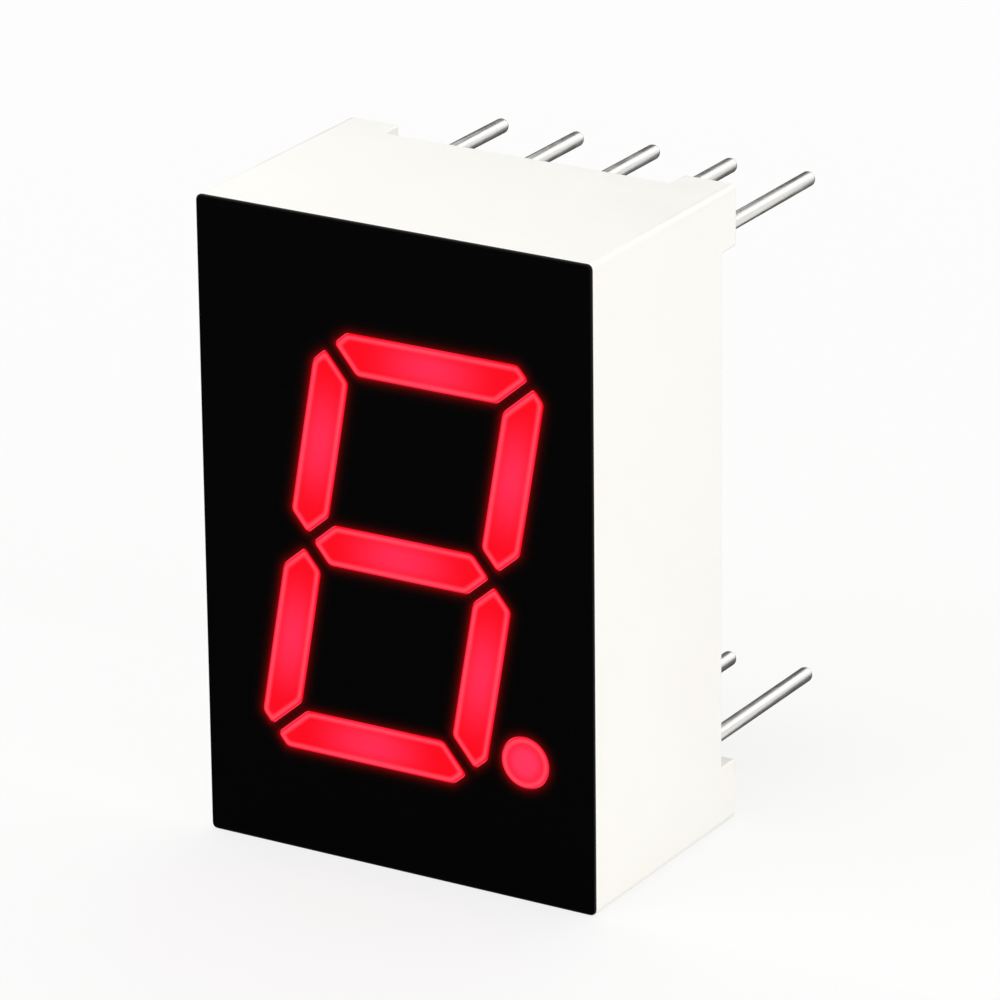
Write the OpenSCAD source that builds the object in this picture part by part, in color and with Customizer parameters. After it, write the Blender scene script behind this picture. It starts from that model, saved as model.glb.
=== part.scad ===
// Seven segment display: a single lit digit with its decimal point, for a printed circuit board.
// The origin is the middle of the ten leads, in the plane where the four feet meet the board.
// +X is the digit's right, +Z its top, and the leads run out of the back along +Y.

/* [Body] */
// Width of the body across the digit
body_w = 12.6; // [12.4:0.1:16]
// Height of the body
body_h = 19; // [18.4:0.1:24]
// Depth from the black face to the ends of the feet
body_d = 8; // [6.6:0.1:10]
// Rounding of the body's four long edges
edge_ease = 0.18; // [0.05:0.01:0.4]
// Thickness of the side walls around the board
side_wall = 0.6; // [0.4:0.05:0.65]
// Thickness of the top and bottom walls around the board
end_wall = 1; // [0.6:0.05:1.2]
// Thickness of the moulded front wall between the wells
front_wall = 1.2; // [0.9:0.1:2]
// Wall left around each light well at its mouth
well_wall = 0.6; // [0.4:0.05:0.75]
// Thickness of the black film on the front
film_t = 0.1; // [0.05:0.01:0.2]
// Gap all round each window, between the film and the cast segment
window_gap = 0.03; // [0.01:0.01:0.06]

/* [Feet] */
// How far the feet stand out behind the walls
foot_t = 0.8; // [0.4:0.1:1.2]
// Length of each foot along the width
foot_w = 1.65; // [1.2:0.05:2.2]
// Length of each foot along the height
foot_l = 1.8; // [1.3:0.05:2.4]

/* [Digit] */
// Height of the lit digit
digit_h = 12.7; // [10.5:0.1:12.9]
// Width of the lit digit, measured level
digit_w = 7.35; // [6.1:0.05:8.8]
// Lean of the digit to the right, in degrees
digit_slant = 10; // [0:0.5:12]
// Distance of the digit's middle to the right of the body's middle
digit_x = 0.15; // [-0.3:0.05:0.3]
// Distance of the digit's middle below the body's middle
digit_drop = 0.1; // [0:0.05:0.2]
// Width of a segment
seg_w = 1.2; // [1:0.05:1.45]
// Black gap between neighbouring segments
seg_gap = 0.36; // [0.25:0.01:0.5]
// How much of each outer mitred tip is clipped off
tip_cut = 0.35; // [0.15:0.05:0.45]
// Easing of the segments' corners
seg_ease = 0.13; // [0.05:0.01:0.2]
// Diameter of the decimal point
point_d = 1.5; // [1.25:0.05:1.8]
// Level gap between the digit and the decimal point
point_gap = 0.45; // [0.3:0.01:0.6]
// Height of the decimal point's lower edge above the digit's
point_rise = 0.35; // [0:0.05:0.6]

/* [Light wells] */
// Depth over which a well keeps the full shape of its window
land = 0.7; // [0.4:0.05:0.9]
// Length of a well where it meets the board
floor_l = 2; // [1.6:0.1:3]
// Width of a well where it meets the board
floor_w = 0.9; // [0.7:0.05:1.1]
// Diameter of the decimal point's well where it meets the board
point_floor_d = 1.3; // [1.2:0.05:1.4]

/* [Circuit board] */
// Thickness of the board
board_t = 1; // [0.8:0.1:1.2]
// Gap between the board's edge and the walls
board_gap = 0.05; // [0.02:0.01:0.08]
// Thickness of the copper tracks
copper_t = 0.07; // [0.035:0.005:0.1]
// Width of the copper tracks
track_w = 0.4; // [0.25:0.05:0.5]
// Gap between the corners of a lead's root and its hole
hole_gap = 0.02; // [0.01:0.005:0.04]
// Width of the copper ring round each hole
ring_w = 0.17; // [0.14:0.01:0.21]
// Distance from a lead row to the bends of the tracks
track_bend = 1; // [0.7:0.1:1.2]
// Distance of the long outer track from the board's edge
lane_set = 0.95; // [0.6:0.05:1.3]

/* [Light-emitting dies] */
// Side of each die
die_w = 0.3; // [0.25:0.01:0.36]
// Height of each die
die_t = 0.2; // [0.15:0.01:0.25]
// Width of the copper land that shows round each die
die_margin = 0.1; // [0.05:0.01:0.14]
// Bare gap between a die's land and the track that its wire goes to
copper_gap = 0.25; // [0.2:0.01:0.3]
// Distance of each die from the middle of its well
die_offset = 0.25; // [0.2:0.01:0.3]
// Diameter of a bond wire
wire_d = 0.05; // [0.04:0.005:0.07]
// Diameter of the pressed ball and foot at a bond wire's ends
bond_d = 0.1; // [0.08:0.01:0.14]
// Thickness of the pressed ball and foot
bond_t = 0.03; // [0.02:0.005:0.04]

/* [Leads] */
// Distance between neighbouring leads in a row
pitch = 2.54; // [2:0.01:2.54]
// Distance between the two rows of leads
row_span = 15.24; // [15:0.01:15.8]
// Diameter of a lead
lead_d = 0.45; // [0.4:0.01:0.6]
// Length of a lead past the ends of the feet
lead_l = 6.5; // [3:0.1:12]
// Length of the rounded tip of a lead
tip_l = 0.16; // [0.08:0.01:0.24]
// Side of the square root that grips the board's hole
root_w = 0.4; // [0.36:0.01:0.53]
// Distance from a root's rear end to the ends of the feet
root_set = 0.08; // [0.02:0.01:0.09]
// How far a root stands out of the copper, in front of the board
root_proud = 0.4; // [0.2:0.05:0.8]
// How far a solder joint spreads past its hole, on the copper
solder_spread = 0.12; // [0.08:0.01:0.14]
// Height of a solder joint
solder_t = 0.34; // [0.15:0.01:0.6]
// Width of a solder joint's top edge, past the corners of the root
solder_lip = 0.02; // [0.01:0.005:0.04]

/* [Rear filling] */
// Thickness of the filling behind the board
filling_t = 1; // [0.6:0.05:1.4]
// Distance from the filling's surface to the rear edges of the walls
filling_set = 0.1; // [0.02:0.02:0.3]

/* [Hidden] */
$fn = 48;
CURVE_STEPS = 4;       // straight steps in each eased corner
OVERCUT = 1;           // length by which a cut runs out of the solid
LEADS_PER_ROW = 5;

half = seg_w / 2;
row_v = digit_h / 2 - half;             // middle line of the top and bottom bars
column_u = digit_w / 2 - half;          // middle line of the upright bars
mitre_set = seg_gap / sqrt(2);          // from a crossing of middle lines to a mitred end
cavity_w = body_w - 2 * side_wall;
cavity_h = body_h - 2 * end_wall;
rim_depth = body_d - foot_t;            // rear edge of the walls, between the feet
filling_rear = rim_depth - filling_set;
board_rear = filling_rear - filling_t;
board_front = board_rear - board_t;
seat_depth = board_front - copper_t;    // where the copper seats on the reflector
board_w = cavity_w - 2 * board_gap;
board_h = cavity_h - 2 * board_gap;
hole_d = root_w * sqrt(2) + 2 * hole_gap;
ring_d = hole_d + 2 * ring_w;
solder_d = hole_d + 2 * solder_spread;
lead_z = row_span / 2;
die_land = die_w + 2 * die_margin;
bond_span = die_land / 2 + copper_gap + track_w / 2;

LETTERS = ["a", "b", "c", "d", "e", "f", "g"];
LIGHTS = concat(LETTERS, ["point"]);
LOWER_RIGHT = 2;       // places in LIGHTS that the tracks treat apart
MIDDLE = 6;
POINT = 7;
LEAD_NUMBERS = [1:2 * LEADS_PER_ROW];

// ---- Outlines, drawn as seen from the front ----

function reversed(points) = [for (i = [len(points) - 1:-1:0]) points[i]];

// Copy of an outline, turned over left to right and top to bottom by signs of -1
function flipped(points, su, sv) =
    let (moved = [for (p = points) [su * p.x, sv * p.y]])
    su * sv < 0 ? reversed(moved) : moved;

// Place on the body of a point given in the upright digit
function slanted(p) = [digit_x + p.x + p.y * tan(digit_slant), p.y - digit_drop];
function all_slanted(points) = [for (p = points) slanted(p)];

// Outline with each corner eased into a short curve
function toward(p, q, ease) = p + (q - p) * ease / norm(q - p);
function eased(points, ease) =
    [for (i = [0:len(points) - 1])
        let (
            p = points[i],
            a = toward(p, points[(i + len(points) - 1) % len(points)], ease),
            b = toward(p, points[(i + 1) % len(points)], ease)
        )
        for (k = [0:CURVE_STEPS])
            let (t = k / CURVE_STEPS) (1 - t) ^ 2 * a + 2 * t * (1 - t) * p + t ^ 2 * b];

// Outline with each edge moved outwards by a distance
function outward(p, q) = let (d = (q - p) / norm(q - p)) [d.y, -d.x];
function grown(points, distance) =
    [for (i = [0:len(points) - 1])
        let (
            p = points[i],
            m = outward(points[(i + len(points) - 1) % len(points)], p),
            n = outward(p, points[(i + 1) % len(points)])
        )
        p + distance * (m + n) / (1 + m * n)];

function box_outline(w, h) = [[-w / 2, -h / 2], [w / 2, -h / 2], [w / 2, h / 2], [-w / 2, h / 2]];

// Top bar: both ends mitred at a corner of the digit, with clipped tips
row_end = column_u - mitre_set;
top_bar = [
    [-(row_end - half), row_v - half],
    [row_end - half, row_v - half],
    [row_end + half - tip_cut, row_v + half - tip_cut],
    [row_end + half - 2 * tip_cut, row_v + half],
    [-(row_end + half - 2 * tip_cut), row_v + half],
    [-(row_end + half - tip_cut), row_v + half - tip_cut]
];

// Middle bar: both ends come to a point
middle_bar = [
    [-row_end, 0], [-(row_end - half), -half], [row_end - half, -half],
    [row_end, 0], [row_end - half, half], [-(row_end - half), half]
];

// Upper left bar: a point at the digit's waist, a mitred end at its corner
column_end = row_v - mitre_set;
upper_left_bar = [
    [-column_u, mitre_set],
    [-column_u + half, mitre_set + half],
    [-column_u + half, column_end - half],
    [-column_u - half + tip_cut, column_end + half - tip_cut],
    [-column_u - half, column_end + half - 2 * tip_cut],
    [-column_u - half, mitre_set + half]
];

// The seven bars in the order of LETTERS, and which of them stand upright
BARS = [
    top_bar,
    flipped(upper_left_bar, -1, 1),
    flipped(upper_left_bar, -1, -1),
    flipped(top_bar, 1, -1),
    flipped(upper_left_bar, 1, -1),
    upper_left_bar,
    middle_bar
];
UPRIGHT = [false, true, true, false, true, true, false];

// Lowest and highest corners of an outline's box, and the box's middle
function low(points) = [min([for (p = points) p.x]), min([for (p = points) p.y])];
function high(points) = [max([for (p = points) p.x]), max([for (p = points) p.y])];
function middle(points) = (low(points) + high(points)) / 2;

// Bar shrunk about its middle to the well's floor
function floor_outline(i) =
    let (
        bar = eased(BARS[i], seg_ease),
        c = middle(bar),
        size = high(bar) - low(bar),
        s = UPRIGHT[i] ? [floor_w / size.x, floor_l / size.y] : [floor_l / size.x, floor_w / size.y]
    )
    [for (p = bar) [c.x + (p.x - c.x) * s.x, c.y + (p.y - c.y) * s.y]];

function bar_outline(i) = all_slanted(eased(BARS[i], seg_ease));

// The decimal point, beside the digit's lower right corner
point_at = slanted([
    digit_w / 2 + point_gap + point_d / 2,
    -digit_h / 2 + point_rise + point_d / 2
]);

// ---- Places of the dies, bonds and leads, as [x, z] ----

// Way from each die to its bond on the copper, in the order of LIGHTS
up = [sin(digit_slant), cos(digit_slant)];
BOND_WAYS = [[1, 0], up, -up, [-1, 0], -up, up, [-1, 0], [0, -1]];

function light_at(i) = i < len(BARS) ? slanted(middle(BARS[i])) : point_at;
function die_at(i) = light_at(i) - BOND_WAYS[i] * die_offset;
function bond_at(i) = die_at(i) + BOND_WAYS[i] * bond_span;

// Leads are numbered from the bottom left, anticlockwise seen from the front
function lead_at(n) =
    let (column = n <= LEADS_PER_ROW ? n - 1 : 2 * LEADS_PER_ROW - n)
    [(column - (LEADS_PER_ROW - 1) / 2) * pitch, n <= LEADS_PER_ROW ? -lead_z : lead_z];

// Lead that feeds each light, in the order of LIGHTS, and the two common leads
FEED_LEADS = [7, 6, 4, 2, 1, 9, 10, 5];
COMMON_LEADS = [8, 3];

// Last point of a track before it turns straight to its lead
function bend_at(n) = let (p = lead_at(n)) [p.x, sign(p.y) * (lead_z - track_bend)];

// ---- Solids, placed by their depth behind the face ----

module slab(from, to)
    translate([0, to - body_d, 0]) rotate([90, 0, 0]) linear_extrude(to - from) children();

module rod(at, from, to, d_from, d_to)
    translate([at.x, from - body_d, at.y])
        rotate([-90, 0, 0])
            cylinder(h = to - from, d1 = d_from, d2 = d_to);

// Closed solid through a stack of [depth, outline] rings
module loft(rings) {
    n = len(rings[0][1]);
    last = len(rings) - 1;
    points = [for (ring = rings) for (p = ring[1]) [p.x, ring[0] - body_d, p.y]];
    walls = [for (k = [0:last - 1]) for (i = [0:n - 1])
        let (a = k * n + i, b = k * n + (i + 1) % n)
        each [[a, b, b + n], [a, b + n, a + n]]];
    front = [[for (i = [n - 1:-1:0]) i]];
    rear = [[for (i = [0:n - 1]) last * n + i]];
    polyhedron(points = points, faces = concat(front, walls, rear));
}

module body_outline() polygon(eased(box_outline(body_w, body_h), edge_ease));

// Space of one light well; lead_in and run_out lengthen it past the face and the floor
module well(i, lead_in = 0, run_out = 0) {
    if (i < len(BARS)) {
        mouth = bar_outline(i);
        base = all_slanted(floor_outline(i));
        loft([
            [-lead_in, mouth],
            [land, mouth],
            [seat_depth, base],
            if (run_out > 0) [seat_depth + run_out, base]
        ]);
    } else {
        rod(point_at, -lead_in, land, point_d, point_d);
        rod(point_at, land, seat_depth, point_d, point_floor_d);
        if (run_out > 0) rod(point_at, seat_depth, seat_depth + run_out, point_floor_d, point_floor_d);
    }
}

// Square root of a lead
module root(n, from, to)
    slab(from, to) translate(lead_at(n)) square(root_w, center = true);

// Hollows moulded between the wells and the walls, open to the back
module moulding_pockets() {
    inner = column_u - half - well_wall;
    loop = [[-inner, half + well_wall], [inner, half + well_wall],
            [inner, row_v - half - well_wall], [-inner, row_v - half - well_wall]];

    slab(front_wall, seat_depth + OVERCUT) {
        // Inside each loop of the digit
        for (side = [1, -1]) polygon(all_slanted(flipped(loop, 1, side)));

        // Round the digit and its point, but for ribs to the walls behind its top and bottom bars
        difference() {
            square([cavity_w, cavity_h], center = true);
            polygon(all_slanted(box_outline(digit_w + 2 * well_wall, digit_h + 2 * well_wall)));
            translate(point_at) circle(d = point_d + 2 * well_wall);
            for (side = [1, -1])
                translate([0, side * row_v - digit_drop])
                    square([body_w, seg_w + 2 * well_wall], center = true);
        }
    }
}

// Everything between the corner feet, behind the walls
module foot_gaps() {
    slab(rim_depth, body_d + OVERCUT) {
        square([body_w - 2 * foot_w, body_h + OVERCUT], center = true);
        square([body_w + OVERCUT, body_h - 2 * foot_l], center = true);
    }
}

// ---- Pieces ----

// White moulded shell: reflector wells, walls round the board and four corner feet
module housing() {
    color("ivory") difference() {
        slab(film_t, body_d) body_outline();
        for (i = [0:len(LIGHTS) - 1]) well(i, OVERCUT, OVERCUT);
        moulding_pockets();
        slab(seat_depth, body_d + OVERCUT) square([cavity_w, cavity_h], center = true);
        foot_gaps();
    }
}

// Black film stuck on the front, with a window for each light
module face_film() {
    color("black") difference() {
        slab(0, film_t) body_outline();
        slab(-OVERCUT, film_t + OVERCUT) {
            for (bar = BARS) polygon(eased(grown(all_slanted(bar), window_gap), seg_ease));
            translate(point_at) circle(d = point_d + 2 * window_gap);
        }
    }
}

// Segment or point cast in tinted resin, closed round its die and bond wire
module cast_light(i) {
    color("crimson") difference() {
        well(i);
        die(i);
        bond_wire(i);
    }
}

// Glass-fibre board with ten lead holes
module circuit_board() {
    color("khaki") difference() {
        slab(board_front, board_rear)
            square([board_w, board_h], center = true);
        for (n = LEAD_NUMBERS)
            rod(lead_at(n), board_front - OVERCUT, board_rear + OVERCUT, hole_d, hole_d);
    }
}

// Flat strip of copper along a path, with round joints
module strip(path) {
    for (i = [1:len(path) - 1]) {
        step = path[i] - path[i - 1];
        translate(path[i - 1])
            rotate(atan2(step.y, step.x))
                translate([0, -track_w / 2])
                    square([norm(step), track_w]);
        translate(path[i]) circle(d = track_w);
    }
}

// Copper of one net: its strips, its rings and the lands under its dies, drilled for its leads
module copper(paths, leads, dies) {
    color("chocolate") difference() {
        slab(seat_depth, board_front) {
            for (path = paths) strip(path);
            for (n = leads) translate(lead_at(n)) circle(d = ring_d);
            for (i = dies) translate(die_at(i)) square(die_land, center = true);
        }
        for (n = leads)
            rod(lead_at(n), seat_depth - OVERCUT, board_front + OVERCUT, hole_d, hole_d);
    }
}

// Track from one light's bond to its lead; the middle bar's goes round by the left edge
module feed_track(i) {
    start = bond_at(i);
    lead = FEED_LEADS[i];
    way = i == MIDDLE ? [[lane_set - board_w / 2, start.y]] : [];
    copper([concat([start], way, [bend_at(lead), lead_at(lead)])], [lead], []);
}

// Shared track: a spine between the two common leads through the middle bar's die, with a branch
// to each other die, and on from the lower right one to the point's
module common_track() {
    spine_x = die_at(MIDDLE).x;
    top = COMMON_LEADS[0];
    bottom = COMMON_LEADS[1];
    spine = [
        lead_at(top), [spine_x, bend_at(top).y], [spine_x, bend_at(bottom).y], lead_at(bottom)
    ];
    branches = [for (i = [0:MIDDLE - 1]) [[spine_x, die_at(i).y], die_at(i)]];
    near_point = die_at(LOWER_RIGHT);
    to_point = [near_point, [point_at.x, near_point.y], die_at(POINT)];
    copper(concat([spine], branches, [to_point]), COMMON_LEADS, [0:POINT]);
}

// Light-emitting die, seated on the common copper
module die(i) {
    color("gold") slab(seat_depth - die_t, seat_depth)
        translate(die_at(i)) square(die_w, center = true);
}

// Fine wire looped from the top of a die to its track, with a pressed ball and foot
module bond_wire(i) {
    way = BOND_WAYS[i];
    die_top = seat_depth - die_t;
    loop_r = bond_span / 2;
    foot = [bond_span, 0];
    color("goldenrod")
        translate([die_at(i).x, 0, die_at(i).y])
            rotate([0, -atan2(way.y, way.x), 0]) {
                translate([loop_r, die_top - body_d, 0])
                    rotate([0, 0, 180])
                        rotate_extrude(angle = 180)
                            translate([loop_r, 0]) circle(d = wire_d);
                rod([0, 0], die_top - bond_t, die_top, bond_d, bond_d);
                rod(foot, die_top, seat_depth, wire_d, wire_d);
                rod(foot, seat_depth - bond_t, seat_depth, bond_d, bond_d);
            }
}

// Round tinned lead with a square root and a rounded tip
module lead(n) {
    at = lead_at(n);
    shoulder = body_d - root_set;
    tip = body_d + lead_l;
    color("silver") union() {
        root(n, seat_depth - root_proud, shoulder);
        rod(at, shoulder, tip - tip_l, lead_d, lead_d);
        rod(at, tip - tip_l, tip, lead_d, lead_d - 2 * tip_l);
    }
}

// Solder between a lead's root and its copper ring
module solder(n) {
    color("lightsteelblue") difference() {
        rod(lead_at(n), seat_depth - solder_t, seat_depth, root_w * sqrt(2) + 2 * solder_lip, solder_d);
        root(n, seat_depth - solder_t - OVERCUT, seat_depth + OVERCUT);
    }
}

// Hard resin poured over the back of the board, round the roots of the leads
module rear_filling() {
    color("linen") difference() {
        slab(board_rear, filling_rear) square([cavity_w, cavity_h], center = true);
        for (n = LEAD_NUMBERS) root(n, board_rear - OVERCUT, filling_rear + OVERCUT);
    }
}

housing();
face_film();
circuit_board();
rear_filling();
common_track();  // track_common
for (i = [0:len(LIGHTS) - 1]) {
    cast_name = i < len(LETTERS) ? str("segment_", LETTERS[i]) : "decimal_point";
    cast_light(i);
    feed_track(i);
    die(i);
    bond_wire(i);
}
for (n = LEAD_NUMBERS) {
    lead(n);
    solder(n);
}
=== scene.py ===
# Seven segment display: one red digit and its decimal point, all lit, in a white block with a black face.
# It stands on its lower end, with the face towards -Y and the ten leads running out behind along +Y.

import math

import bmesh
import bpy
from mathutils import Matrix, Vector
from mathutils.bvhtree import BVHTree


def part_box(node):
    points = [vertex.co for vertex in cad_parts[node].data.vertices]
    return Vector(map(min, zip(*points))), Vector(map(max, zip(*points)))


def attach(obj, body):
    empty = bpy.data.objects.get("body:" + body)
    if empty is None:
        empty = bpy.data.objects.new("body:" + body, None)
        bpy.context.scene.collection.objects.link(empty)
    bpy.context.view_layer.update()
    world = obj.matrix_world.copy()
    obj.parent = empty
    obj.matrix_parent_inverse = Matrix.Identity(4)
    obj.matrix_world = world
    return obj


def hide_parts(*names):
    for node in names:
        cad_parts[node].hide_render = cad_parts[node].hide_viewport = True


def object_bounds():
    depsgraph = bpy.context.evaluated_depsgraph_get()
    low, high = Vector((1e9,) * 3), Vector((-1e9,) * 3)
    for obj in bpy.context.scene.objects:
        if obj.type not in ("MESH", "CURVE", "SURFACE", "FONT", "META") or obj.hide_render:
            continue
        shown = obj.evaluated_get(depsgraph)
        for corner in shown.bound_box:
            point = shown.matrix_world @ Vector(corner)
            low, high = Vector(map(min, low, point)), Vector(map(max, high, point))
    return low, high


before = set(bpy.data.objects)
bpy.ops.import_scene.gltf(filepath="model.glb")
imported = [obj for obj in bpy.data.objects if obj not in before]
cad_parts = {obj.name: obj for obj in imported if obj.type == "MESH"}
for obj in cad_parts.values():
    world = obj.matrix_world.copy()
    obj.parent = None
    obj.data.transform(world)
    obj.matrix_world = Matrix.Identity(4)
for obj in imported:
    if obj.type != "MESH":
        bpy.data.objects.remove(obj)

cad_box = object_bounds()


# ---- Circuit board ----
# A sawn piece of glass-epoxy laminate that closes the light wells from behind. Under its clear
# yellow-green resin the glass cloth shows as a fine weave, and the surface follows it slightly.

CLOTH_PITCH = 0.45e-3
CLOTH_RELIEF = 3e-6
BAND = math.tau / 20      # width of one band of the wave texture at a scale of 1
LAMINATE = "#B4AE76"
LAMINATE_THREAD = "#C9C592"


def linear(hex_colour):
    """Linear red, green, blue and a full alpha from an sRGB hex value."""
    values = [int(hex_colour[k:k + 2], 16) / 255 for k in (1, 3, 5)]
    return [v / 12.92 if v <= 0.04045 else ((v + 0.055) / 1.055) ** 2.4 for v in values] + [1.0]


def new_finish(name, **values):
    """A new material, with its node tree, and its shader with these values on the sockets."""
    material = bpy.data.materials.new(name)
    material.use_nodes = True
    shader = material.node_tree.nodes["Principled BSDF"]
    for socket, value in values.items():
        shader.inputs[socket.replace("_", " ")].default_value = value
    return material, material.node_tree, shader


def add(tree, kind, out=None, **settings):
    """Adds a shader node and returns one output: the first, or the one that out names.
    Lower-case settings are the node's own, _0 and _1 are inputs by place, others are inputs by
    name, and an output given to an input is linked to it."""
    node = tree.nodes.new("ShaderNode" + kind)
    for name, value in settings.items():
        if name.islower():
            setattr(node, name, value)
    for name, value in settings.items():
        if name.islower():
            continue
        if name[0] == "_":
            socket = node.inputs[int(name[1:])]
        else:
            socket = next(s for s in node.inputs if s.enabled and s.name == name.replace("_", " "))
        if isinstance(value, bpy.types.NodeSocket):
            tree.links.new(value, socket)
        else:
            socket.default_value = value
    return next(s for s in node.outputs if s.enabled and out in (None, s.name))


def connect(tree, shader, **values):
    """Links outputs to the shader's sockets of these names."""
    for socket, value in values.items():
        tree.links.new(value, shader.inputs[socket.replace("_", " ")])


def glass_epoxy():
    """Glossy resin over woven glass: pale threads cross at right angles in a greener ground."""
    material, tree, shader = new_finish("sawn_glass_epoxy_laminate", Roughness=0.32, IOR=1.55)
    place = add(tree, "TexCoord", out="Object")
    threads = [
        add(tree, "TexWave", out="Fac", Vector=place, Scale=BAND / CLOTH_PITCH,
            Distortion=0.6, Detail=1.0, bands_direction=way)
        for way in ("X", "Z")
    ]
    weave = add(tree, "Math", operation="MAXIMUM", _0=threads[0], _1=threads[1])
    colour = add(tree, "Mix", data_type="RGBA", Factor=weave,
                 A=linear(LAMINATE), B=linear(LAMINATE_THREAD))
    relief = add(tree, "Bump", Strength=1.0, Distance=CLOTH_RELIEF, Height=weave)
    connect(tree, shader, Base_Color=colour, Normal=relief)
    return material


def dress(node, material):
    """Gives a CAD node whose shape is right its finish."""
    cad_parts[node].data.materials[0] = material


dress("circuit_board", glass_epoxy())


# ---- Copper tracks ----
# Nine nets etched from one copper layer: a shared track under all eight dies, and one more from
# each bond wire to its lead. The copper is flashed for bonding and finely brushed by the cleaning.

LIGHTS = [*"abcdefg", "point"]
BRUSH_LINE = 0.02e-3
BRUSH_STRETCH = 0.08      # a line's width as a share of its length
BRUSH_DEPTH = 0.6e-6
BLUSH = 1.2e-3            # size of the patches where the flash is thinner
COPPER = "#D99072"
COPPER_DARK = "#C27A5C"


def etched_copper():
    """Bright pink-orange metal, with short hairlines along one way that stretch its highlights."""
    material, tree, shader = new_finish("etched_copper", Metallic=1.0)
    place = add(tree, "TexCoord", out="Object")
    lines = add(tree, "Mapping", Vector=place, Scale=(BRUSH_STRETCH, 1, 1))
    lines = add(tree, "TexNoise", Vector=lines, Scale=1 / BRUSH_LINE, Detail=2.0)
    blush = add(tree, "TexNoise", Vector=place, Scale=1 / BLUSH, Detail=3.0)
    colour = add(tree, "Mix", data_type="RGBA", Factor=blush, A=linear(COPPER_DARK), B=linear(COPPER))
    dull = add(tree, "MapRange", Value=lines, To_Min=0.22, To_Max=0.42)
    relief = add(tree, "Bump", Strength=1.0, Distance=BRUSH_DEPTH, Height=lines)
    connect(tree, shader, Base_Color=colour, Roughness=dull, Normal=relief)
    return material


copper = etched_copper()
for net in ["common", *LIGHTS]:
    dress(f"track_{net}", copper)


# ---- Leads ----
# Ten pins cut from hot-tinned wire. The root of each is pressed square, to grip its hole in the
# board, and the rest is left round. The cut tips are tumbled to a dome.

LEADS = range(1, 11)
LEAD_SIDES = 48
ROOT_HALF = 0.2e-3
ROOT_REACH = 0.265e-3     # from the lead's axis to its root's eased corners
ROOT_END = -0.08e-3       # where the square root ends, just before the plane of the feet
ROOT_EASE = 0.02e-3       # length over which the root's cut end is eased
ROOT_EASED = 0.96         # and the share of its width that is left there
ROOT_BLEND = 0.05e-3      # length over which the square root passes into the round wire
DOME = 0.16e-3            # length of the domed tip
DOME_STEPS = 8
TIN = "#F3F2EF"
TIN_DULL = "#E2E1DE"
TIN_OXIDE = 0.35          # how much of the light at a glancing angle the thin oxide leaves
DRAW_LINE = 0.05e-3
DRAW_STRETCH = 0.04       # a die line's width as a share of its length
DRAW_DEPTH = 0.5e-6
TIN_WAVE = 0.35e-3
TIN_STRETCH = 0.5         # and a wave's
TIN_DEPTH = 1.5e-6
NOISE = {"From_Min": 0.3, "From_Max": 0.7}    # where a noise texture mostly lies
CRISP = math.radians(40)  # edges that turn more than this stay crisp
SQUARE = 0.999999         # largest part of a face's normal, above which it lies square to the frame


def hot_tin():
    """Bright soft metal: long faint die lines under a coat that froze in shallow waves."""
    material, tree, shader = new_finish("hot_tinned_copper_wire", Metallic=1.0,
                                        Specular_Tint=(TIN_OXIDE, TIN_OXIDE, TIN_OXIDE, 1))
    place = add(tree, "TexCoord", out="Object")
    lines = add(tree, "Mapping", Vector=place, Scale=(1, DRAW_STRETCH, 1))
    lines = add(tree, "TexNoise", Vector=lines, Scale=1 / DRAW_LINE, Detail=2.0)
    waves = add(tree, "Mapping", Vector=place, Scale=(1, TIN_STRETCH, 1))
    waves = add(tree, "TexNoise", Vector=waves, Scale=1 / TIN_WAVE, Detail=1.0)
    colour = add(tree, "Mix", data_type="RGBA", Factor=waves, A=linear(TIN_DULL), B=linear(TIN))
    dull = add(tree, "MapRange", Value=waves, **NOISE, To_Min=0.22, To_Max=0.34)
    fine = add(tree, "Bump", Strength=0.5, Distance=DRAW_DEPTH, Height=lines)
    coarse = add(tree, "Bump", Strength=1.0, Distance=TIN_DEPTH, Height=waves, Normal=fine)
    connect(tree, shader, Base_Color=colour, Roughness=dull, Normal=coarse)
    return material


def place_piece(piece, node):
    """Hands a finished piece to the frame, in place of the CAD node that it stands for."""
    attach(piece, "root")
    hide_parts(node)


def made_piece(name, bm, *materials, crisp=CRISP):
    """A new object from a mesh under work: square faces are flat, and the others smooth but for
    the edges sharper than crisp."""
    mesh = bpy.data.meshes.new(name)
    bm.to_mesh(mesh)
    bm.free()
    mesh.set_sharp_from_angle(angle=crisp)
    for face in mesh.polygons:
        face.use_smooth = max(abs(n) for n in face.normal) < SQUARE
    for material in materials:
        mesh.materials.append(material)
    piece = bpy.data.objects.new(name, mesh)
    bpy.context.scene.collection.objects.link(piece)
    return piece


def lead_reach(angle, wire_r, squareness):
    """Distance from a lead's axis to its skin, between a round wire and the pressed square."""
    square = min(ROOT_HALF / max(abs(math.cos(angle)), abs(math.sin(angle))), ROOT_REACH)
    return wire_r + (square - wire_r) * squareness


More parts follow.
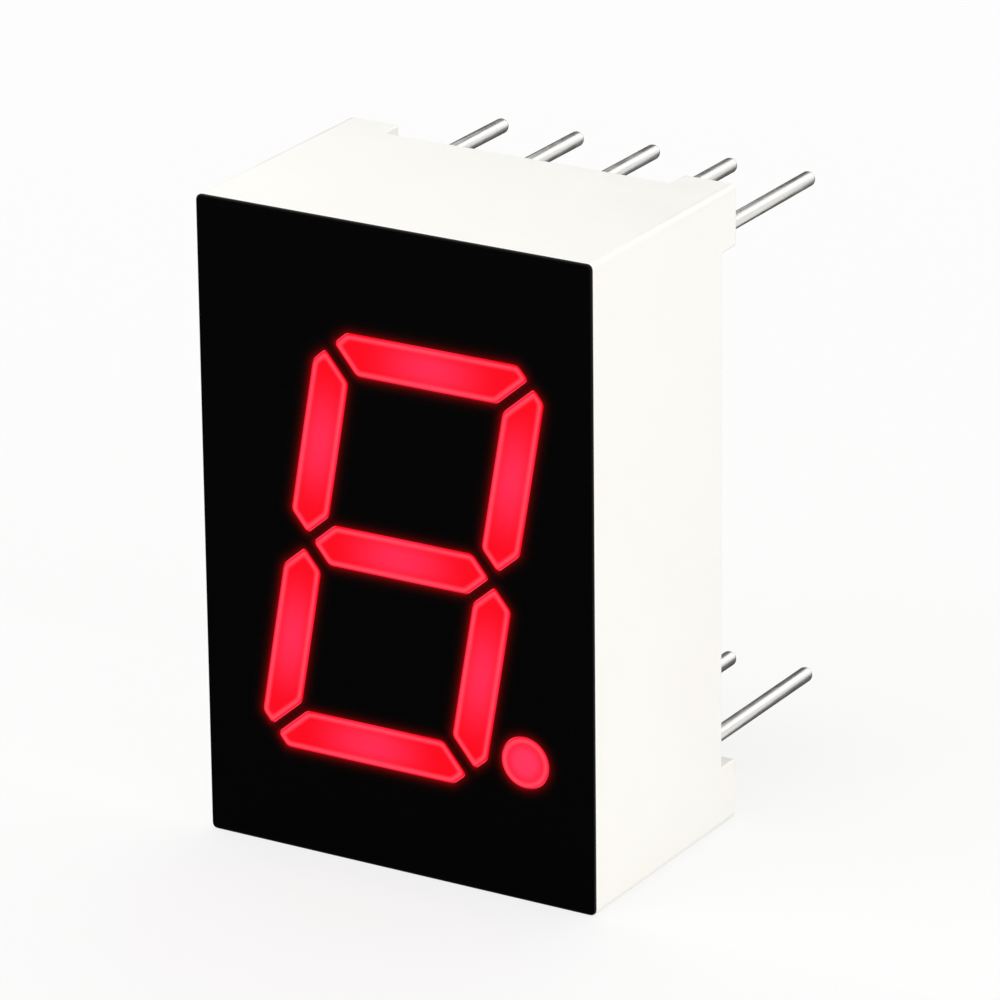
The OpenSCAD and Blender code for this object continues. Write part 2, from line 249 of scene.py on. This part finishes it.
def tinned_lead(n, material):
    """A lead, from rings placed along its axis: place, share of the full width and squareness."""
    node = f"lead_{n}"
    low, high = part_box(node)
    axis = (low + high) / 2
    wire_r = (high.x - low.x) / 2
    stations = [(low.y, ROOT_EASED, 1.0), (low.y + ROOT_EASE, 1.0, 1.0),
                (ROOT_END - ROOT_BLEND, 1.0, 1.0), (ROOT_END, 1.0, 0.0), (high.y - DOME, 1.0, 0.0)]
    for k in range(1, DOME_STEPS + 1):
        turn = math.pi / 2 * k / DOME_STEPS
        share = 1 - DOME / wire_r * (1 - math.cos(turn))
        stations.append((high.y - DOME * (1 - math.sin(turn)), share, 0.0))
    bm = bmesh.new()
    bmesh.ops.create_circle(bm, segments=LEAD_SIDES, radius=wire_r,
                            matrix=Matrix.Rotation(math.pi / 2, 4, "X"))
    ring = list(bm.edges)
    for k, (y, share, squareness) in enumerate(stations):
        if k > 0:
            ring = [g for g in bmesh.ops.extrude_edge_only(bm, edges=ring)["geom"]
                    if isinstance(g, bmesh.types.BMEdge)]
        for vert in {v for edge in ring for v in edge.verts}:
            angle = math.atan2(vert.co.z, vert.co.x)
            reach = share * lead_reach(angle, wire_r, squareness)
            vert.co = (reach * math.cos(angle), y, reach * math.sin(angle))
    bmesh.ops.holes_fill(bm, edges=bm.edges, sides=LEAD_SIDES)
    bmesh.ops.translate(bm, verts=bm.verts, vec=(axis.x, 0, axis.z))
    bmesh.ops.recalc_face_normals(bm, faces=bm.faces)
    place_piece(made_piece(f"tinned_lead_{n}", bm, material), node)


tin = hot_tin()
for n in LEADS:
    tinned_lead(n, tin)


# ---- Solder joints ----
# Each lead is soldered to its copper ring on the front of the board. The solder wets the ring and
# climbs the root in a hollow cone, bright but softer than the tinned wire.

FILLET_STEPS = 8
FILLET_SIDES = 40
FILLET_NECK = 0.02e-3     # how far the solder's thin upper end stands off the root's corners
SOLDER = "#C9CACB"
SOLDER_DULL = "#A9ABAD"
SOLDER_GRAIN = 0.12e-3
SOLDER_DEPTH = 2e-6
SAME = 1e-8               # corners closer than this are one corner


def frozen_solder():
    """Silvery metal with a fine frosty grain where the alloy froze."""
    material, tree, shader = new_finish("frozen_tin_solder", Metallic=1.0)
    place = add(tree, "TexCoord", out="Object")
    frost = add(tree, "TexVoronoi", Vector=place, Scale=1 / SOLDER_GRAIN, feature="F1")
    colour = add(tree, "Mix", data_type="RGBA", Factor=frost, A=linear(SOLDER), B=linear(SOLDER_DULL))
    dull = add(tree, "MapRange", Value=frost, To_Min=0.22, To_Max=0.4)
    relief = add(tree, "Bump", Strength=0.6, Distance=SOLDER_DEPTH, Height=frost)
    connect(tree, shader, Base_Color=colour, Roughness=dull, Normal=relief)
    return material


def solder_fillet(n, material):
    """A solder joint, spun from the outline of its hollow cone."""
    node = f"solder_{n}"
    low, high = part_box(node)
    axis = (low + high) / 2
    foot_r = (high.x - low.x) / 2
    neck_r = ROOT_REACH + FILLET_NECK
    outline = [Vector((0, high.y, 0)), Vector((foot_r, high.y, 0))]
    for k in range(1, FILLET_STEPS + 1):
        turn = math.pi / 2 * k / FILLET_STEPS
        outline.append(Vector((neck_r + (foot_r - neck_r) * (1 - math.sin(turn)),
                               low.y + (high.y - low.y) * math.cos(turn), 0)))
    outline.append(Vector((0, low.y, 0)))
    bm = bmesh.new()
    verts = [bm.verts.new(p) for p in outline]
    edges = [bm.edges.new(pair) for pair in zip(verts, verts[1:])]
    bmesh.ops.spin(bm, geom=verts + edges, cent=(0, 0, 0), axis=(0, 1, 0), angle=math.tau,
                   steps=FILLET_SIDES, use_merge=True)
    bmesh.ops.remove_doubles(bm, verts=bm.verts, dist=SAME)
    bmesh.ops.translate(bm, verts=bm.verts, vec=(axis.x, 0, axis.z))
    bmesh.ops.recalc_face_normals(bm, faces=bm.faces)
    place_piece(made_piece(f"solder_fillet_{n}", bm, material), node)


solder = frozen_solder()
for n in LEADS:
    solder_fillet(n, solder)


# ---- Light-emitting dies ----
# Eight small blocks sawn from a red-emitting crystal wafer and glued to the shared track. The sawn
# sides are frosted, and the front carries a small gold pad for the bond wire.

SAW_EASE = 0.008e-3
SAW_MARK = 0.01e-3
SAW_STRETCH = 0.2         # a saw mark's width as a share of its length
SAW_DEPTH = 0.4e-6
PAD_MARGIN = 0.075e-3
CRYSTAL = "#B59A4E"
CRYSTAL_DARK = "#8F7A40"
GOLD = "#E6BE68"
GOLD_DEEP = "#D9AE55"
GOLD_RIPPLE = 0.03e-3
GOLD_DEPTH = 0.3e-6
WELD = 1e-7               # corners of a CAD node closer than this are one corner
FLAT = math.radians(0.5)  # faces that turn less than this are one face
ALONG = 0.99              # cosine of the angle within which a face looks along a way
LEVEL = 1e-6              # what is within this of a depth lies at it
FRONT = Vector((0, -1, 0))


def sawn_crystal():
    """Honey-coloured semiconductor with fine parallel saw marks."""
    material, tree, shader = new_finish("sawn_crystal", Roughness=0.35, IOR=2.4)
    place = add(tree, "TexCoord", out="Object")
    marks = add(tree, "Mapping", Vector=place, Scale=(SAW_STRETCH, 1, SAW_STRETCH))
    marks = add(tree, "TexNoise", Vector=marks, Scale=1 / SAW_MARK, Detail=2.0)
    colour = add(tree, "Mix", data_type="RGBA", Factor=marks, A=linear(CRYSTAL_DARK), B=linear(CRYSTAL))
    relief = add(tree, "Bump", Strength=0.5, Distance=SAW_DEPTH, Height=marks)
    connect(tree, shader, Base_Color=colour, Normal=relief)
    return material


def drawn_gold():
    """Fine gold: warm yellow metal, smooth from the drawing die but for a faint ripple."""
    material, tree, shader = new_finish("drawn_gold", Metallic=1.0, Roughness=0.18)
    place = add(tree, "TexCoord", out="Object")
    ripple = add(tree, "TexNoise", Vector=place, Scale=1 / GOLD_RIPPLE, Detail=2.0)
    colour = add(tree, "Mix", data_type="RGBA", Factor=ripple, A=linear(GOLD_DEEP), B=linear(GOLD))
    relief = add(tree, "Bump", Strength=0.5, Distance=GOLD_DEPTH, Height=ripple)
    connect(tree, shader, Base_Color=colour, Normal=relief)
    return material


def welded(node):
    """A CAD node's mesh under work, with its loose triangles joined and its flat areas made whole."""
    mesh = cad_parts[node].data.copy()
    if "custom_normal" in mesh.attributes:
        mesh.attributes.remove(mesh.attributes["custom_normal"])
    bm = bmesh.new()
    bm.from_mesh(mesh)
    bpy.data.meshes.remove(mesh)
    bmesh.ops.remove_doubles(bm, verts=bm.verts, dist=WELD)
    bmesh.ops.dissolve_limit(bm, angle_limit=FLAT, verts=bm.verts, edges=bm.edges)
    return bm


def facing(bm, way, depth=None):
    """The faces whose normal points along way, and which lie at that depth along Y if it is given."""
    return [f for f in bm.faces if f.normal.dot(way) > ALONG
            and (depth is None or abs(f.calc_center_median().y - depth) < LEVEL)]


crystal = sawn_crystal()
gold = drawn_gold()
for light in LIGHTS:
    bm = welded(f"die_{light}")
    bmesh.ops.bevel(bm, geom=list(bm.edges), offset=SAW_EASE, affect="EDGES", segments=1,
                    profile=0.5, material=-1)
    pad = facing(bm, FRONT)
    bmesh.ops.inset_region(bm, faces=pad, thickness=PAD_MARGIN)
    for face in pad:
        face.material_index = 1
    piece = made_piece(f"sawn_die_{light}", bm, crystal, gold)
    place_piece(piece, f"die_{light}")


# ---- Bond wires ----
# Fine gold wire, ball-bonded to each die's pad and looped down to its track. The CAD loop is right
# and takes the same gold as the pads.

for light in LIGHTS:
    dress(f"bond_wire_{light}", gold)


# ---- White shell ----
# One injection moulding in white polycarbonate, loaded with titanium dioxide so that its wells throw
# the light forwards. The polished tool leaves a soft gloss over a faint ripple, and the edges of the
# rim and feet a little rounded. Under the film, its front faces are painted red and given a painted glow.

CORNER = math.radians(45)  # edges that turn more than this are corners
SHELL_EASE = 0.06e-3
SHELL_WHITE = "#FAF8F4"
SHELL_SHADE = "#F8F5EE"
SHELL_CLOUD = 3.2e-3
# Painted red and painted red glow for the shell's front faces under the film, in place of the dies' light.
PAINTED_FRONT_RED = "#7A0C18"
PAINTED_FRONT_GLOW = "#FE3A58"
TOOL_RIPPLE = 1.1e-3
TOOL_RIPPLE_DEPTH = 8e-6
TOOL_GRAIN = 0.07e-3      # drawn coarser than the real grain, which would not show
TOOL_GRAIN_DEPTH = 1e-6


def moulded_polycarbonate(name, **values):
    """Plastic with the tool's faint ripple and fine grain in its gloss, and these values."""
    material, tree, shader = new_finish(name, IOR=1.58, **values)
    place = add(tree, "TexCoord", out="Object")
    ripple = add(tree, "TexNoise", Vector=place, Scale=1 / TOOL_RIPPLE, Detail=1.0)
    dull = add(tree, "MapRange", Value=ripple, **NOISE, To_Min=0.3, To_Max=0.42)
    grain = add(tree, "TexNoise", Vector=place, Scale=1 / TOOL_GRAIN, Detail=2.0)
    fine = add(tree, "Bump", Strength=0.5, Distance=TOOL_GRAIN_DEPTH, Height=grain)
    broad = add(tree, "Bump", Strength=0.6, Distance=TOOL_RIPPLE_DEPTH, Height=ripple, Normal=fine)
    connect(tree, shader, Roughness=dull, Normal=broad)
    return material, tree, shader


def white_polycarbonate():
    """Warm white, dense and even."""
    material, tree, shader = moulded_polycarbonate("moulded_white_polycarbonate")
    place = add(tree, "TexCoord", out="Object")
    cloud = add(tree, "TexNoise", Vector=place, Scale=1 / SHELL_CLOUD, Detail=2.0)
    colour = add(tree, "Mix", data_type="RGBA", Factor=cloud, A=linear(SHELL_SHADE), B=linear(SHELL_WHITE))
    connect(tree, shader, Base_Color=colour)
    return material


def polycarbonate_with_painted_glow():
    """The same plastic, painted dark red and given a painted red glow, standing in for the dies' light
    under the film.
    """
    return moulded_polycarbonate("moulded_polycarbonate_with_painted_red_glow", Base_Color=linear(PAINTED_FRONT_RED),
                                 Emission_Color=linear(PAINTED_FRONT_GLOW), Emission_Strength=1.0)[0]


bm = welded("housing")
copper_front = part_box("track_common")[0].y
rear_edges = [e for e in bm.edges if len(e.link_faces) == 2 and e.calc_face_angle(0) > CORNER
              and min(v.co.y for v in e.verts) > copper_front + SHELL_EASE]
bmesh.ops.bevel(bm, geom=rear_edges, offset=SHELL_EASE, affect="EDGES", segments=3, profile=0.5,
                material=-1)
# The front faces under the film take the painted red and painted glow.
for face in facing(bm, FRONT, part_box("housing")[0].y):
    face.material_index = 1
shell = made_piece("moulded_shell", bm, white_polycarbonate(), polycarbonate_with_painted_glow())
place_piece(shell, "housing")


# ---- Cast lights ----
# Seven bars and a round point of red epoxy with a diffusing powder, cast in the wells round the dies.
# The powder spreads each die's light over its window: pinkest in the middle, a deeper red towards
# the ends, and a paler line just inside the rim, where the white wall throws light back.

UPRIGHT = 0.5             # a wall's normal has less than this along Y
RIM_EASE = 0.02e-3        # rounding of the rim's outer edge
RIM_WIDTH = 0.07e-3
RIM_SINK = 0.012e-3       # how far the resin shrinks back inside its rim
CAST_CELL = 0.08e-3       # spacing of the cuts that let the glow follow the rim
GLOW_MIDDLE = "#FE2950"
GLOW_POINT = "#FE345C"
GLOW_SIDE = "#FE2040"     # between the middle and the pale line
GLOW_END = "#FA001A"
GLOW_LINE = "#FF4A63"
RESIN = "#3A0004"
LINE_RISE = (0.0, 0.1e-3)         # distances from the rim between which the pale line rises,
LINE_FALL = (0.06e-3, 0.22e-3)    # falls again,
MIDDLE_RISE = (0.15e-3, 0.45e-3)  # and the middle's colour takes over
GLOW_REACH = 2.3e-3       # distance from the middle of a bar to its reddest ends
POWDER = 0.05e-3          # drawn coarser than the real powder, which would not show
POWDER_SPREAD = 0.06      # how much brighter or dimmer than the mean the powder's grains make it
POWDER_DEPTH = 1e-6
MM = 1e-3                 # distances in attributes are in millimetres
ACROSS = ((0, Vector((1, 0, 0))), (2, Vector((0, 0, 1))))    # the two axes of the face


def lit_epoxy(light, middle, centre):
    """Red resin full of fine powder, with its own light: a smooth glow that is barely grainy."""
    material, tree, shader = new_finish(f"cast_red_epoxy_{light}", Base_Color=linear(RESIN), Roughness=0.4,
                                        IOR=1.5, Specular_IOR_Level=0.25, Emission_Strength=1.0)
    place = add(tree, "TexCoord", out="Object")
    flat = add(tree, "Mapping", Vector=place, Location=(-centre.x, 0, -centre.z), Scale=(1, 0, 1))
    away = add(tree, "VectorMath", out="Value", operation="LENGTH", _0=flat)
    far = add(tree, "MapRange", Value=away, From_Max=GLOW_REACH, interpolation_type="SMOOTHSTEP")
    inside = add(tree, "Attribute", out="Fac", attribute_name="from_rim")
    inner, rise, fall = (
        add(tree, "MapRange", Value=inside, From_Min=start / MM, From_Max=end / MM,
            interpolation_type="SMOOTHSTEP")
        for start, end in (MIDDLE_RISE, LINE_RISE, LINE_FALL)
    )
    glow = add(tree, "Mix", data_type="RGBA", Factor=inner, A=linear(GLOW_SIDE), B=linear(middle))
    glow = add(tree, "Mix", data_type="RGBA", Factor=far, A=glow, B=linear(GLOW_END))
    left = add(tree, "Math", operation="SUBTRACT", _0=1.0, _1=fall)
    line = add(tree, "Math", operation="MULTIPLY", _0=rise, _1=left)
    glow = add(tree, "Mix", data_type="RGBA", Factor=line, A=glow, B=linear(GLOW_LINE))
    powder = add(tree, "TexNoise", Vector=place, Scale=1 / POWDER, Detail=2.0)
    level = add(tree, "MapRange", Value=powder, **NOISE,
                To_Min=1 - POWDER_SPREAD, To_Max=1 + POWDER_SPREAD)
    glow = add(tree, "VectorMath", operation="SCALE", _0=glow, Scale=level)
    relief = add(tree, "Bump", Strength=0.3, Distance=POWDER_DEPTH, Height=powder)
    connect(tree, shader, Emission_Color=glow, Normal=relief)
    return material


def inset_rim(bm, area, width):
    """Insets an area of faces by width, and returns the vertices of its outer edge."""
    ring = bmesh.ops.inset_region(bm, faces=area, thickness=width, use_even_offset=True)["faces"]
    return {v for f in ring for v in f.verts} - {v for f in area for v in f.verts}


def search_tree(bm, keep):
    """A search tree of the faces of a mesh that keep accepts, for the distance to the nearest."""
    part = bm.copy()
    bmesh.ops.delete(part, geom=[f for f in part.faces if not keep(f)], context="FACES")
    tree = BVHTree.FromBMesh(part)
    part.free()
    return tree


def cut(bm, faces, way, place):
    """Cuts flat faces along a plane square to way, that far along it."""
    parts = list({g for f in faces for g in (f, *f.edges, *f.verts)})
    bmesh.ops.bisect_plane(bm, geom=parts, dist=SAME, plane_co=way * place, plane_no=way)


def cut_cells(bm, depth, low, high, cell):
    """Cuts the front faces about a depth into square cells, over the stretch from low to high."""
    for axis, way in ACROSS:
        for k in range(math.ceil((high[axis] - low[axis]) / cell)):
            front = [f for f in facing(bm, FRONT) if abs(f.calc_center_median().y - depth) < 2 * RIM_SINK]
            cut(bm, front, way, low[axis] + k * cell)


def light_node(light):
    """The name of the CAD node of a bar or the point."""
    return "decimal_point" if light == "point" else f"segment_{light}"


def cast_light(light):
    """A bar or the point: its rim eased, its face sunk a little and cut into cells for the glow."""
    node = light_node(light)
    low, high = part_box(node)
    bm = welded(node)
    rim = search_tree(bm, lambda f: abs(f.normal.y) < UPRIGHT)
    window = facing(bm, FRONT, low.y)
    edge = inset_rim(bm, window, RIM_WIDTH)
    for vert in {v for f in window for v in f.verts}:
        vert.co.y += RIM_SINK
    corner = [e for e in bm.edges if e.calc_face_angle(0) > CORNER and all(v in edge for v in e.verts)]
    bmesh.ops.bevel(bm, geom=corner, offset=RIM_EASE, affect="EDGES", segments=2, profile=0.5,
                    material=-1)
    bm.normal_update()
    cut_cells(bm, low.y, low, high, CAST_CELL)
    from_rim = bm.verts.layers.float.new("from_rim")
    for vert in bm.verts:
        vert[from_rim] = rim.find_nearest(vert.co)[3] / MM
    middle = GLOW_POINT if light == "point" else GLOW_MIDDLE
    material = lit_epoxy(light, middle, (low + high) / 2)
    name = "cast_point" if light == "point" else f"cast_bar_{light}"
    place_piece(made_piece(name, bm, material), node)


for light in LIGHTS:
    cast_light(light)


# ---- Black face film ----
# A thin polyester film, screened with matt black ink and glued to the front, with a window for each
# light. Light that leaks sideways into its glue makes a narrow red glow round each.

FILM_EASE = 0.045e-3
FILM_CELL = 0.12e-3       # spacing of the cuts that let the glow follow the windows
LEAK = 0.145              # the glow's strength at the very edge of a window
LEAK_FALL = 0.073e-3      # distance over which the glow falls to about a third
LEAK_REACH = 0.5e-3       # distance at which it is gone
LEAK_RED = "#FF0004"
INK = "#030303"
INK_DEEP = "#020202"
INK_GRAIN = 0.06e-3       # drawn coarser than the real tooth, which would not show
INK_DEPTH = 1e-6


def screened_film():
    """Near-black and matt, with the fine tooth of screened ink and a red glow near the windows."""
    material, tree, shader = new_finish("black_screened_film", IOR=1.5, Specular_IOR_Level=0.12,
                                        Emission_Strength=1.0)
    place = add(tree, "TexCoord", out="Object")
    tooth = add(tree, "TexNoise", Vector=place, Scale=1 / INK_GRAIN, Detail=3.0)
    colour = add(tree, "Mix", data_type="RGBA", Factor=tooth, A=linear(INK_DEEP), B=linear(INK))
    dull = add(tree, "MapRange", Value=tooth, **NOISE, To_Min=0.34, To_Max=0.46)
    relief = add(tree, "Bump", Strength=0.5, Distance=INK_DEPTH, Height=tooth)
    away = add(tree, "Attribute", out="Fac", attribute_name="from_window")
    share = add(tree, "Math", operation="DIVIDE", _0=away, _1=-LEAK_FALL / MM)
    share = add(tree, "Math", operation="EXPONENT", _0=share)
    share = add(tree, "Math", operation="MULTIPLY", _0=share, _1=LEAK)
    glow = add(tree, "VectorMath", operation="SCALE", _0=linear(LEAK_RED)[:3], Scale=share)
    connect(tree, shader, Base_Color=colour, Roughness=dull, Normal=relief, Emission_Color=glow)
    return material


film_low, film_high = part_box("face_film")


def at_border(place):
    """Whether a place on the film is nearer its outer edge than any window is."""
    return min(film_high.x - abs(place.x), film_high.z - abs(place.z)) < LEAK_REACH


bm = welded("face_film")
windows = search_tree(bm, lambda f: abs(f.normal.y) < UPRIGHT and not at_border(f.calc_center_median()))
lit = [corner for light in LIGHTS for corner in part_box(light_node(light))]
reach = Vector((LEAK_REACH, 0, LEAK_REACH))
cut_cells(bm, film_low.y, Vector([min(p[k] for p in lit) for k in range(3)]) - reach,
          Vector([max(p[k] for p in lit) for k in range(3)]) + reach, FILM_CELL)
border = [e for e in bm.edges if e.calc_face_angle(0) > CORNER
          and all(abs(v.co.y - film_low.y) < LEVEL and at_border(v.co) for v in e.verts)]
bmesh.ops.bevel(bm, geom=border, offset=FILM_EASE, affect="EDGES", segments=2, profile=0.5, material=-1)
from_window = bm.verts.layers.float.new("from_window")
for vert in bm.verts:
    vert[from_window] = windows.find_nearest(vert.co)[3] / MM
place_piece(made_piece("black_film_face", bm, screened_film()), "face_film")


# ---- Rear filling ----
# Hard ivory epoxy poured over the back of the board, to seal it and hold the leads. It wets what it
# touches, so it creeps a little way up the walls and round each root, and sets glossy and level between.

REAR = Vector((0, 1, 0))
POUR_CREEP = 0.07e-3      # how far the resin creeps up what it touches
POUR_FADE = 0.06e-3       # distance over which the creep falls to about a third
POUR_STEPS = [0.0, 0.02e-3, 0.05e-3, 0.09e-3, 0.14e-3, 0.2e-3]    # how far from a wall the cuts lie
POUR_CRISP = math.radians(75)
POUR_CLOUD = 2.4e-3
POUR_WAVE = 1.6e-3
POUR_WAVE_DEPTH = 14e-6
EPOXY = "#E9E4D4"
EPOXY_DEEP = "#DED7C2"


def poured_epoxy():
    """Ivory resin with a wet gloss, slightly cloudy, with the slow waves of a poured surface."""
    material, tree, shader = new_finish("poured_ivory_epoxy", IOR=1.55)
    place = add(tree, "TexCoord", out="Object")
    cloud = add(tree, "TexNoise", Vector=place, Scale=1 / POUR_CLOUD, Detail=4.0)
    colour = add(tree, "Mix", data_type="RGBA", Factor=cloud, A=linear(EPOXY_DEEP), B=linear(EPOXY))
    waves = add(tree, "TexNoise", Vector=place, Scale=1 / POUR_WAVE, Detail=1.0)
    dull = add(tree, "MapRange", Value=cloud, **NOISE, To_Min=0.12, To_Max=0.22)
    relief = add(tree, "Bump", Strength=0.6, Distance=POUR_WAVE_DEPTH, Height=waves)
    connect(tree, shader, Base_Color=colour, Roughness=dull, Normal=relief)
    return material


def lead_place(n):
    """The middle of a lead."""
    low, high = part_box(f"lead_{n}")
    return (low + high) / 2


bm = welded("rear_filling")
filling_low, filling_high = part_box("rear_filling")
wetted = search_tree(bm, lambda f: abs(f.normal.y) < UPRIGHT)
for axis, way in ACROSS:
    sides = {filling_low[axis], filling_high[axis]}
    for n in LEADS:
        middle = lead_place(n)[axis]
        sides |= {middle - ROOT_HALF, middle + ROOT_HALF}
    for place in sorted({side + step * turn for side in sides for step in POUR_STEPS for turn in (-1, 1)}):
        cut(bm, facing(bm, REAR, filling_high.y), way, place)
for vert in {v for f in facing(bm, REAR, filling_high.y) for v in f.verts}:
    vert.co.y += POUR_CREEP * math.exp(-wetted.find_nearest(vert.co)[3] / POUR_FADE)
filling = made_piece("poured_filling", bm, poured_epoxy(), crisp=POUR_CRISP)
place_piece(filling, "rear_filling")


# ---- Studio ----
# A seamless pale floor in a white room, with a broad soft lamp high on the left, another on the right
# and a weak low one behind. Only reflections see the cards: black ones before the film keep it black,
# and grey ones behind give the leads the dark edges that bright round metal has.

FLOOR_SIDE = 1.2
FLOOR_WHITE = "#F4F4F3"
FADE_NEAR = 0.7           # how much of the room's plain white the paper shows beside the display,
FADE_START = 0.02         # and the distances between which that rises
FADE_END = 0.16           # to all of it
ROOM_LIGHT = 0.81
LAMP_AWAY = 0.4
LAMP_SIDE = 0.35
KEY_WAY = (-35, 50)       # azimuth from -Y towards +X, and elevation, in degrees
KEY_WATTS = 0.39
FILL_WAY = (75, 25)
FILL_WATTS = 0.35
BACK_WAY = (180, 6)
BACK_WATTS = 0.3
CARD_BLACK = "#060606"
CARD_GREY = "#6E6E6D"
CARD_LIFT = 0.02e-3       # height of the cards' lower edges above the floor
CARD_GAP = 0.03e-3        # between the display's face and the card that lies before it
FACE_EDGE = cad_box[0].y - CARD_GAP
FRONT_CARD = [(-0.12, -0.12), (0.03, -0.12), (0.03, FACE_EDGE), (-0.12, FACE_EDGE)]  # x, y of its corners
REAR_CARD = [(-0.15, 0.003), (0.0077, 0.003), (0.1, 0.21), (-0.15, 0.21)]
FRONT_WALL_Y = -0.12
FRONT_WALL = [(-0.12, 0.06), (0.0, 0.06)]        # x, z of an upright card's top edge
REAR_WALL_X = -0.012
NEAR_WALL = [(0.003, 0.01), (0.031, 0.0225)]     # y, z of an upright card's top edge
TALL_WALL = [(0.031, 0.055), (0.1, 0.055)]
SENSOR = 36.0
LENS = 254.5              # in millimetres, as the sensor's width is
CLIP = (0.01, 10.0)
AIM = Vector((3.39e-3, -8e-3, 2.28e-3))    # the middle of the view
AWAY = 192.5e-3           # and how far the camera stands from it
AZIMUTH, ELEVATION, ROLL = (math.radians(d) for d in (31.1, 20.8, -0.63))


def seen_plainly(tree):
    """1 for what the lens sees, directly, in a reflection or through a clear piece, and 0 for light."""
    path = add(tree, "LightPath").node
    seen = add(tree, "Math", operation="MAXIMUM", _0=path.outputs["Is Camera Ray"],
               _1=path.outputs["Is Glossy Ray"])
    return add(tree, "Math", operation="MAXIMUM", _0=seen, _1=path.outputs["Is Transmission Ray"])


def pale_floor():
    """Matt white paper. Away from the display it passes into the white of the room behind it."""
    material, tree, shader = new_finish("white_paper_sweep", Base_Color=linear(FLOOR_WHITE), Roughness=0.9)
    output = tree.nodes["Material Output"]
    place = add(tree, "TexCoord", out="Object")
    away = add(tree, "VectorMath", out="Value", operation="LENGTH", _0=place)
    share = add(tree, "MapRange", Value=away, From_Min=FADE_START, From_Max=FADE_END,
                To_Min=FADE_NEAR, To_Max=1.0, interpolation_type="SMOOTHSTEP")
    share = add(tree, "Math", operation="MULTIPLY", _0=seen_plainly(tree), _1=share)
    white = add(tree, "Emission", Color=(1, 1, 1, 1), Strength=1.0)
    mixed = add(tree, "MixShader", _0=share, _1=shader.outputs["BSDF"], _2=white)
    tree.links.new(mixed, output.inputs["Surface"])
    return material


def white_room():
    """The room's light on the display, and plain white wherever the lens or a reflection sees it."""
    world = bpy.data.worlds.new("white_room")
    bpy.context.scene.world = world
    world.use_nodes = True
    tree = world.node_tree
    tree.nodes.clear()
    room = add(tree, "Background", Color=(1, 1, 1, 1), Strength=ROOM_LIGHT)
    plain = add(tree, "Background", Color=(1, 1, 1, 1), Strength=1.0)
    mixed = add(tree, "MixShader", _0=seen_plainly(tree), _1=room, _2=plain)
    output = tree.nodes.new("ShaderNodeOutputWorld")
    tree.links.new(mixed, output.inputs["Surface"])


def direction(azimuth, elevation):
    """The way from the display at these angles in radians."""
    return Vector((math.sin(azimuth) * math.cos(elevation), -math.cos(azimuth) * math.cos(elevation),
                   math.sin(elevation)))


def soft_lamp(name, way, watts, mirrored):
    """A square softbox that looks at the middle of the display, and shows in its gloss or not."""
    lamp = bpy.data.lights.new(name, "AREA")
    lamp.shape = "SQUARE"
    lamp.size = LAMP_SIDE
    lamp.energy = watts
    back = direction(*(math.radians(d) for d in way))
    holder = bpy.data.objects.new(name, lamp)
    holder.location = back * LAMP_AWAY
    holder.rotation_euler = back.to_track_quat("Z", "Y").to_euler()
    holder.visible_camera = False
    holder.visible_glossy = mirrored
    bpy.context.scene.collection.objects.link(holder)


def flat_stage(name, material, corners):
    """A flat stage piece through four corners."""
    bm = bmesh.new()
    bm.faces.new([bm.verts.new(c) for c in corners])
    piece = made_piece(name, bm, material)
    return piece


def reflection_card(name, material, corners):
    """A card that only reflections see."""
    card = flat_stage(name, material, corners)
    card.visible_camera = False
    card.visible_diffuse = False
    card.visible_shadow = False
    card.visible_transmission = False


def camera():
    """A long lens to the right of the display and above it, rolled a little."""
    back = direction(AZIMUTH, ELEVATION)
    level = Vector((math.cos(AZIMUTH), math.sin(AZIMUTH), 0))
    upright = back.cross(level)
    right = level * math.cos(ROLL) + upright * math.sin(ROLL)
    up = upright * math.cos(ROLL) - level * math.sin(ROLL)
    eye = bpy.data.cameras.new("camera")
    eye.sensor_width = SENSOR
    eye.lens = LENS
    eye.clip_start, eye.clip_end = CLIP
    holder = bpy.data.objects.new("camera", eye)
    turn = Matrix((right, up, back)).transposed().to_4x4()
    holder.matrix_world = Matrix.Translation(AIM + back * AWAY) @ turn
    bpy.context.scene.collection.objects.link(holder)
    bpy.context.scene.camera = holder


ground = cad_box[0].z
half = FLOOR_SIDE / 2
flat_stage("floor", pale_floor(),
           [(-half, -half, ground), (half, -half, ground), (half, half, ground), (-half, half, ground)])

lift = ground + CARD_LIFT
card_black, _, _ = new_finish("black_card", Base_Color=linear(CARD_BLACK), Roughness=0.9)
card_grey, _, _ = new_finish("grey_card", Base_Color=linear(CARD_GREY), Roughness=0.9)
reflection_card("front_card", card_black, [(x, y, lift) for x, y in FRONT_CARD])
reflection_card("rear_card", card_grey, [(x, y, lift) for x, y in REAR_CARD])
(x0, z0), (x1, z1) = FRONT_WALL
reflection_card("front_wall", card_black,
                [(x, FRONT_WALL_Y, z) for x, z in ((x0, lift), (x1, lift), (x1, z1), (x0, z0))])
for name, ((y0, z0), (y1, z1)) in (("near_card", NEAR_WALL), ("tall_card", TALL_WALL)):
    reflection_card(name, card_grey,
                    [(REAR_WALL_X, y, z) for y, z in ((y0, lift), (y1, lift), (y1, z1), (y0, z0))])

white_room()
# Mirrored in the white shell, the two front lamps would wash its colour out.
soft_lamp("key_softbox", KEY_WAY, KEY_WATTS, mirrored=False)
soft_lamp("fill_softbox", FILL_WAY, FILL_WATTS, mirrored=False)
soft_lamp("back_softbox", BACK_WAY, BACK_WATTS, mirrored=True)
camera()

bpy.context.scene.view_settings.view_transform = "Standard"
